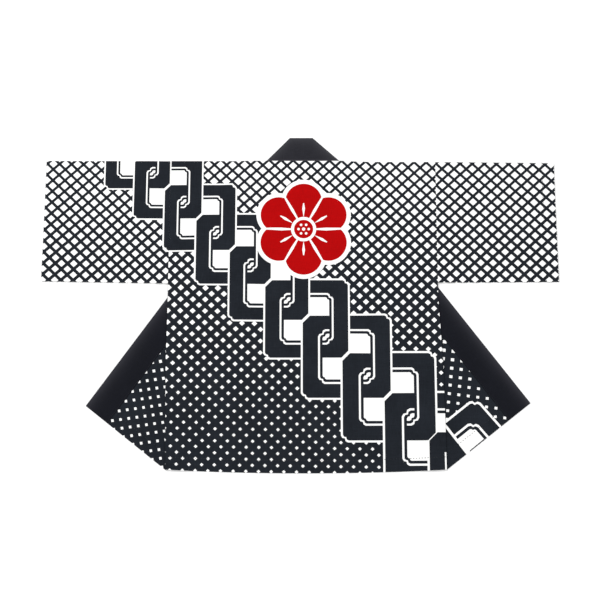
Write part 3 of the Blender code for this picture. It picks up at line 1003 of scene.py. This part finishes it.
class Sleeve:
    """A sleeve unrolled from the seam under the arm, over the fold at the shoulder, and back."""

    def __init__(self, side):
        self.row, self.stray, self.sign = side["row"], side["stray"], side["sign"]
        self.start_x = side["shoulder"][0] + self.sign * SEAM_GAP
        self.end_x = self.sign * self.row["cuff_x"]
        middle = self.rows_at(np.array([self.start_x * 0.5 + self.end_x * 0.5]))
        self.bend = float(middle["top_radius"][0]) * math.pi

    def layer_heights(self, y, top, low, out):
        """Middle heights of the lower and the upper layer."""
        at_body = 1.0 - smooth(out * SLEEVE_SETTLE)
        down = np.clip((top - y) / (top - low), 0.0, 1.0)
        spots = np.column_stack((np.full(len(y), self.start_x), y))
        loft = SLEEVE_LOFT * (1.0 - at_body) * (1.0 - np.sqrt(np.sin(math.pi * down)))
        front, back = front_floor(spots), back_floor(spots)
        floor = front * at_body
        lift = (CLOTH + LAYER_GAP) * (1.0 - at_body) + (back - front) * at_body
        return floor + CLOTH * 0.5, floor + lift + loft + CLOTH * 0.5

    def rows_at(self, x):
        """Everything about the ring at each x."""
        out = np.clip((x - self.start_x) / (self.end_x - self.start_x), 0.0, 1.0)
        top = SHOULDER_Y - SEAM_GAP + (self.row["cuff_top_y"] - SHOULDER_Y + SEAM_GAP) * out
        top = top - self.stray["shoulder_sinks"]
        underarm = UNDERARM_Y - self.stray["underarm_sinks"]
        low = underarm + (self.row["cuff_low_y"] - underarm) * out
        top_low, top_high = self.layer_heights(top, top, low, out)
        low_low, low_high = self.layer_heights(low, top, low, out)
        return {"out": out, "top": top, "low": low,
                "top_radius": (top_high - top_low) * 0.5, "top_middle": (top_high + top_low) * 0.5,
                "low_radius": (low_high - low_low) * 0.5, "low_middle": (low_high + low_low) * 0.5}

    def ends(self, x):
        """Where the unrolled sleeve begins and ends at each x, and where its top bend starts."""
        ring = self.rows_at(x)
        top_bend = ring["top"] - ring["top_radius"] - CLOTH * 0.5
        low_bend = ring["low"] + ring["low_radius"] + CLOTH * 0.5
        quarter = ring["low_radius"] * math.pi * 0.5
        end = top_bend + self.bend + (top_bend - low_bend) + quarter
        return ring, low_bend - quarter, top_bend, low_bend, end

    def outline(self):
        xs = np.linspace(self.start_x, self.end_x, 24)
        ring, start, top_bend, low_bend, end = self.ends(xs)
        low = [at(x, y) for x, y in zip(xs, start)]
        high = [at(x, y) for x, y in zip(xs, end)]
        sides = np.linspace(0.0, 1.0, 40)[1:-1]
        outer = [low[-1] + (high[-1] - low[-1]) * s for s in sides]
        inner = [high[0] + (low[0] - high[0]) * s for s in sides]
        return low + outer + high[::-1] + inner

    def lay(self, points):
        x, t = points[:, 0], points[:, 1]
        ring, start, top_bend, low_bend, end = self.ends(x)
        past = (t - top_bend) / self.bend
        upper = past <= 0.0
        over = (past > 0.0) & (past < 1.0)
        y = np.where(upper, t, top_bend - (t - top_bend - self.bend))
        flat_y = np.clip(y, low_bend, top_bend)
        low_z, high_z = self.layer_heights(flat_y, ring["top"], ring["low"], ring["out"])
        z = np.where(upper, high_z, low_z)
        angle = np.clip(past, 0.0, 1.0) * math.pi
        y = np.where(over, top_bend + ring["top_radius"] * np.sin(angle), y)
        z = np.where(over, ring["top_middle"] + ring["top_radius"] * np.cos(angle), z)
        radius = np.maximum(ring["low_radius"], 0.0001)
        under = np.clip((low_bend - y) / radius, 0.0, math.pi * 0.5)
        way = np.where(upper, 1.0, -1.0)
        below = y < low_bend
        z = np.where(below, ring["low_middle"] + way * radius * np.cos(under), z)
        y = np.where(below, low_bend - radius * np.sin(under), y)
        edge = np.minimum(np.minimum(top_bend - y, y - low_bend),
                          np.minimum(np.abs(x - self.start_x), np.abs(self.end_x - x)))
        loose = looseness(np.column_stack((x, y)), edge, 7.0)
        cuff = hem_rise(np.abs(self.end_x - x)) * 0.6
        seam = seam_fall(np.abs(x - self.start_x))
        z = z + np.where(upper, loose + cuff - seam, 0.0)
        flare = self.stray["cuff_flares"] * ring["out"] * (ring["top"] - y) / (ring["top"] - ring["low"])
        return np.column_stack((x + self.sign * flare, y, z))

    def seam_lines(self):
        """Lines round the bends, the armhole and the cuff's hem."""
        margin = self.sign * NEAR_EDGE
        xs = np.linspace(self.start_x + margin, self.end_x - margin, 40)
        ring, start, top_bend, low_bend, end = self.ends(xs)
        lines = []
        for share in np.linspace(0.0, 1.0, 7):
            lines.append([at(x, y + self.bend * share) for x, y in zip(xs, top_bend)])
        quarter = ring["low_radius"] * math.pi * 0.5
        for share in (0.34, 0.67, 1.0):
            lines.append([at(x, a + b * share) for x, a, b in zip(xs, start, quarter)])
            lines.append([at(x, a - b * share) for x, a, b in zip(xs, end, quarter)])
        for depth in HEM_STEPS:
            lines.append(self.ring_line(self.end_x - self.sign * depth))
        for depth in SEAM_STEPS:
            lines.append(self.ring_line(self.start_x + self.sign * depth))
        return lines

    def ring_line(self, x):
        ring, start, top_bend, low_bend, end = self.ends(np.array([x]))
        return [at(x, t) for t in np.linspace(float(start[0]) + NEAR_EDGE, float(end[0]) - NEAR_EDGE, 80)]


def make_sleeve(name, key):
    sleeve = Sleeve(PLANS[key])
    cut = cut_panel(sleeve.outline(), SLEEVE_PRINTS[key], sleeve.seam_lines())
    return shell(name, cut, sleeve.lay), sleeve


# ---- the collar

class Plain:
    """Artwork of a cloth of one colour."""

    figures = ()

    def outlines(self, area):
        return []

    def colours(self, points):
        return np.zeros(len(points), int)


def counterclockwise(outline):
    outline = np.asarray(outline, float)
    following = np.roll(outline, -1, axis=0)
    twice_area = np.sum(outline[:, 0] * following[:, 1] - following[:, 0] * outline[:, 1])
    return outline if twice_area > 0.0 else outline[::-1]


def inset_outline(outline, depth):
    """An anticlockwise outline moved inwards by a depth."""
    before, after = np.roll(outline, 1, axis=0), np.roll(outline, -1, axis=0)
    inset = []
    for previous, corner, following in zip(before, outline, after):
        along_in, along_out = unit(corner - previous), unit(following - corner)
        start_in = corner + at(-along_in[1], along_in[0]) * depth
        start_out = corner + at(-along_out[1], along_out[0]) * depth
        if abs(along_in[0] * along_out[1] - along_in[1] * along_out[0]) < 1e-6:
            inset.append(start_in)
        else:
            inset.append(cross_point(start_in, along_in, start_out, along_out))
    return np.array(inset)


def line_distance(line, points):
    """Distance from each point to the nearest part of a line of straight pieces."""
    nearest = np.full(len(points), np.inf)
    for start, end in zip(line[:-1], line[1:]):
        along = end - start
        share = np.clip((points - start) @ along / (along @ along), 0.0, 1.0)
        foot = start + share[:, None] * along
        nearest = np.minimum(nearest, np.linalg.norm(points - foot, axis=1))
    return nearest


COLLAR_ROLL = 0.0016        # the band's folded edges are rounded over this distance,
ROLL_RINGS = (0.08, 0.3, 0.62, 1.0)  # with a ring of points at these shares of it
PLEAT_INSET = 0.0015        # the upper plies behind the neck stand this far in from the lower ones
BAND_GRID = 0.014           # spacing of the points farther in, at least
BAND_CLEAR = 0.004          # this far from the outline,
BAND_BOX = ((-0.56, 0.56), (-0.31, 0.43))    # within these limits of x and y


def band_layer(outline, low_z, high_z, loose, seed):
    """One closed layer of the band, with rounded edges: points, faces, both sides, and its rim."""
    outline = counterclockwise(outline)
    closed_outline = np.vstack((outline, outline[:1]))
    rings = [inset_outline(outline, COLLAR_ROLL * share) for share in ROLL_RINGS]
    xs, ys = [np.arange(*limits, BAND_GRID) for limits in BAND_BOX]
    grid = np.array([(x, y) for x in xs for y in ys])
    deep = grid[inside(rings[-1], grid)]
    deep = deep[line_distance(closed_outline, deep) > BAND_CLEAR]
    closed = [list(ring) + [ring[0]] for ring in rings]
    points, faces, _ = cut_panel(outline, Plain(), closed, extra=deep)
    depth = line_distance(closed_outline, points)
    share = np.clip(depth / COLLAR_ROLL, 0.0, 1.0)
    swell = np.sqrt(1.0 - (1.0 - share) ** 2)
    middle, half = (low_z + high_z) * 0.5, (high_z - low_z) * 0.5
    softness = relief(points, seed, loose, 0.06) * smooth(depth / 0.02)
    top = np.column_stack((points, middle + half * swell + softness))
    bottom = np.column_stack((points, middle - half * swell))
    return points, faces, top, bottom, depth < 1e-7


def make_collar():
    """The collar: a band folded to four plies along both front edges, pleated behind the neck."""
    left, right = PLANS["left"], PLANS["right"]
    crotch = (leg_outline(left)[2] + leg_outline(right)[2]) * 0.5
    left_neck = left["neck"] - at(left["stray"]["neck_spreads"], 0.0)
    free_edge = [left["flap"], left["edge_exit"], left_neck, left["crown"],
                 right["crown"], right["neck"], right["edge_exit"], right["flap"]]
    band = [left["seam_foot"], *free_edge, right["seam_foot"], crotch]
    inset, drop = at(PLEAT_INSET, 0.0), at(0.0, PLEAT_INSET)
    pleats = [left_neck + inset, left["crown"] + inset - drop,
              right["crown"] - inset - drop, right["neck"] - inset]
    layers = [band_layer(band, low_z=0.0001, high_z=COLLAR_THICK, loose=0.0003, seed=11.0),
              band_layer(pleats, low_z=COLLAR_THICK, high_z=NECK_THICK - 0.0002, loose=0.0008, seed=13.0)]
    spots, polygons, plies, under = [], [], [], []
    for ply, (points, faces, top, bottom, rim) in enumerate(layers):
        first, count = len(spots), len(points)
        below = np.arange(count)
        below[~rim] = np.arange((~rim).sum()) + count
        spots += top.tolist() + bottom[~rim].tolist()
        polygons += (faces + first).tolist() + (below[faces[:, ::-1]] + first).tolist()
        plies += [ply] * len(faces) * 2
        under += [False] * len(faces) + [True] * len(faces)
    spots = np.array(spots)
    mesh = new_mesh("collar_band", spots, polygons, COLLAR_CLOTHS, plies)
    # distance from the band's free edge, which places the band's painted highlight
    from_edge = mesh.attributes.new("from_edge", "FLOAT", "POINT")
    from_edge.data.foreach_set("value", line_distance(np.array(free_edge), spots[:, :2]))
    where = spots[corners_of(mesh)][:, :2]
    neck, under = np.repeat(plies, 3) == 1, np.repeat(under, 3)
    threads = where.copy()
    for side in (left, right):
        leg = (where[:, 0] * side["sign"] > 0.0) & ~neck
        threads[leg] = (where[leg] - side["flap"]) @ np.column_stack((side["edge_along"], side["across"]))
    add_map(mesh, "cloth", threads)
    add_map(mesh, "OFBake", collar_bake_places(where, neck, under))
    mesh.shade_smooth()
    return placed("collar_band", mesh)


def collar_bake_places(where, neck, under):
    """The band's two sides one above the other, the pleats between the legs, where it has no cloth."""
    low, high = where.min(axis=0), where.max(axis=0)
    band = (where - low) / (high - low) * (0.96, 0.47) + np.where(under[:, None], (0.01, 0.505), (0.01, 0.01))
    low = at(-SIDES["left"]["neck_x"], SHOULDER_Y)
    size = at(0.19, COLLAR_TOP_Y - SHOULDER_Y)
    pleats = (where - low) / size * (0.14, 0.07) + np.where(under[:, None], (0.46, 0.60), (0.30, 0.60))
    return np.where(neck[:, None], pleats, band)


# ---- stitching

THREAD_ENDS = (-0.5, -0.2, 0.2, 0.5)         # rings along a stitch, as shares of its length,
THREAD_TAPER = (0.22, 0.5, 0.5, 0.22)        # their radii, as shares of its thickness,
THREAD_PROUD = (-0.30, 0.22, 0.22, -0.30)    # and how far they stand out of the cloth


def stitch_line(lay, line, side=1.0, stitch=HEM_STITCH):
    """Points and normals on a laid cloth, evenly spaced along a line drawn on its flat cut."""
    pitch, length, thick = stitch
    line = np.array(line)
    lengths = np.linalg.norm(np.diff(line, axis=0), axis=1)
    run = np.concatenate(((0.0,), np.cumsum(lengths)))
    count = int(run[-1] / pitch)
    marks = (np.arange(count) + 0.5) * run[-1] / count
    ends = []
    for offset, proud in zip(THREAD_ENDS, THREAD_PROUD):
        place = np.clip(marks + offset * length, 0.0, run[-1])
        flat = np.column_stack((np.interp(place, run, line[:, 0]), np.interp(place, run, line[:, 1])))
        normal = normals_of(lay, flat) * side
        ends.append((lay(flat) + normal * (WALL * 0.5 + thick * proud), normal))
    return ends


def sew(name, lines, stitch, sides=6):
    """Stitches along lines, as short rounded threads that don't go below the table."""
    spots, polygons = [], []
    for ends in lines:
        for i in range(len(ends[0][0])):
            first = len(spots)
            rings = [(centres[i], normals[i]) for centres, normals in ends]
            along = unit(rings[-1][0] - rings[0][0])
            for (centre, up), share in zip(rings, THREAD_TAPER):
                side = unit(np.cross(along, up))
                for n in range(sides):
                    angle = 2.0 * math.pi * n / sides
                    spot = centre + (side * math.cos(angle) + up * math.sin(angle)) * (stitch[2] * share)
                    spot[2] = max(spot[2], 0.0)
                    spots.append(spot)
            rows = np.arange(first, len(spots)).reshape(-1, sides).tolist()
            for row, following in zip(rows, rows[1:]):
                for n in range(sides):
                    m = (n + 1) % sides
                    polygons.append((row[n], row[m], following[m], following[n]))
            polygons += [rows[0][::-1], rows[-1]]
    spots = np.array(spots)
    mesh = new_mesh(name, spots, polygons, [INK_THREAD], [0] * len(polygons))
    add_map(mesh, "cloth", spots[corners_of(mesh)][:, :2])
    mesh.shade_smooth()
    return placed(name, mesh)


def lay_collar(points):
    """Where a row of stitches lies on the band, which is flat there."""
    level = COLLAR_THICK - WALL * 0.5 + 0.00015
    return np.column_stack((points, np.full(len(points), level)))


SEAM_ROW = 0.0030           # rows of stitches on the collar lie this far from its seam,
EDGE_ROW = 0.0035           # and from its free edge
ROW_END = 0.004             # they stop this far from the ends


def collar_stitches():
    """A row on each leg beside its seam, and one along its free edge."""
    lines = []
    for side in PLANS.values():
        out, along = -side["across"], side["edge_along"]
        foot = side["seam_foot"] + out * SEAM_ROW + along * ROW_END
        seam_row = [foot, cross_point(foot, along, side["corner"], at(0.0, 1.0))]
        edge_row = [side["flap"] - out * EDGE_ROW + along * ROW_END * 1.5,
                    side["edge_exit"] - out * EDGE_ROW - along * ROW_END]
        lines += [stitch_line(lay_collar, row, stitch=COLLAR_STITCH) for row in (seam_row, edge_row)]
    return lines


def dress():
    back = make_back()
    sleeves = {key: make_sleeve("sleeve_" + key + "_panel", key) for key in PLANS}
    fronts = {key: make_front("front_" + key + "_panel", key) for key in PLANS}
    collar = make_collar()
    hems = [stitch_line(lay_back, hem_line(STITCH_INSET))]
    for key in PLANS:
        sleeve, shape = sleeves[key]
        ring = shape.ring_line(shape.end_x - shape.sign * STITCH_INSET)
        hems.append(stitch_line(shape.lay, ring, shape.sign))
        front, fold = fronts[key]
        hems.append(stitch_line(fold.lay, fold.hem_line(STITCH_INSET)))
    hem_rows = sew("hem_stitches", hems, HEM_STITCH)
    collar_rows = sew("collar_stitches", collar_stitches(), COLLAR_STITCH)
    for piece in (hem_rows, collar_rows):
        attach(piece, "root")
    for key in PLANS:
        for piece, cad in ((sleeves[key][0], "sleeve_" + key), (fronts[key][0], "front_" + key)):
            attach(piece, "root")
            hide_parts(cad)
    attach(back, "root")
    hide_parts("back")
    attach(collar, "root")
    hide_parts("collar")


# ---- the stage, the lights and the camera

AIM = Vector((-0.0004, 0.0034, 0.0))
ELEVATION = math.radians(78.2)       # of the camera, over the table
DISTANCE = 3.24
FLOOR_SIZE = 6.0            # half the width of the floor,
FLOOR_DROP = 0.0002         # which lies this far under the coat
PAPER_TONES = (0.93, 0.96)
ROOM_LIGHT = 0.75           # strength of the even white light


def make_stage():
    mesh = bpy.data.meshes.new("floor")
    ends = (-FLOOR_SIZE, FLOOR_SIZE)
    mesh.from_pydata([(x, y, 0.0) for y in ends for x in ends[::1 if y < 0.0 else -1]], [], [(0, 1, 2, 3)])
    floor = placed("floor", mesh)
    floor.location.z = -FLOOR_DROP
    paper = bpy.data.materials.new("paper")
    paper.use_nodes = True
    tree = paper.node_tree
    shader = tree.nodes["Principled BSDF"]
    grain = node(tree, "ShaderNodeTexNoise", Scale=40.0, Detail=3.0)
    ramp = node(tree, "ShaderNodeMapRange", To_Min=PAPER_TONES[0], To_Max=PAPER_TONES[1])
    tree.links.new(grain.outputs["Fac"], ramp.inputs["Value"])
    tree.links.new(ramp.outputs["Result"], shader.inputs["Base Color"])
    shader.inputs["Roughness"].default_value = 0.9
    shader.inputs["Specular IOR Level"].default_value = 0.0
    mesh.materials.append(paper)


def make_light(name, place, size, power):
    """A round soft light; its width is in metres and its power in watts."""
    data = bpy.data.lights.new(name, "AREA")
    data.shape = "DISK"
    data.size = size
    data.energy = power
    light = placed(name, data)
    light.location = place
    light.rotation_euler = (AIM - Vector(place)).to_track_quat("-Z", "Y").to_euler()


def make_camera():
    data = bpy.data.cameras.new("camera")
    data.lens = 80.0
    data.sensor_width = 36.0
    data.clip_end = 50.0
    camera = placed("camera", data)
    camera.location = AIM + Vector((0.0, -math.cos(ELEVATION), math.sin(ELEVATION))) * DISTANCE
    camera.rotation_euler = (math.radians(90.0) - ELEVATION, 0.0, 0.0)
    bpy.context.scene.camera = camera


def make_room():
    world = bpy.data.worlds.new("room")
    world.use_nodes = True
    sky = world.node_tree.nodes["Background"]
    sky.inputs["Color"].default_value = (1.0, 1.0, 1.0, 1.0)
    sky.inputs["Strength"].default_value = ROOM_LIGHT
    bpy.context.scene.world = world
    bpy.context.scene.view_settings.view_transform = "Standard"


make_stage()
make_light("key", (-1.6, 1.4, 2.6), 1.6, 55.0)
make_light("fill", (1.8, -1.2, 2.4), 2.2, 25.0)
make_camera()
make_room()
dress()
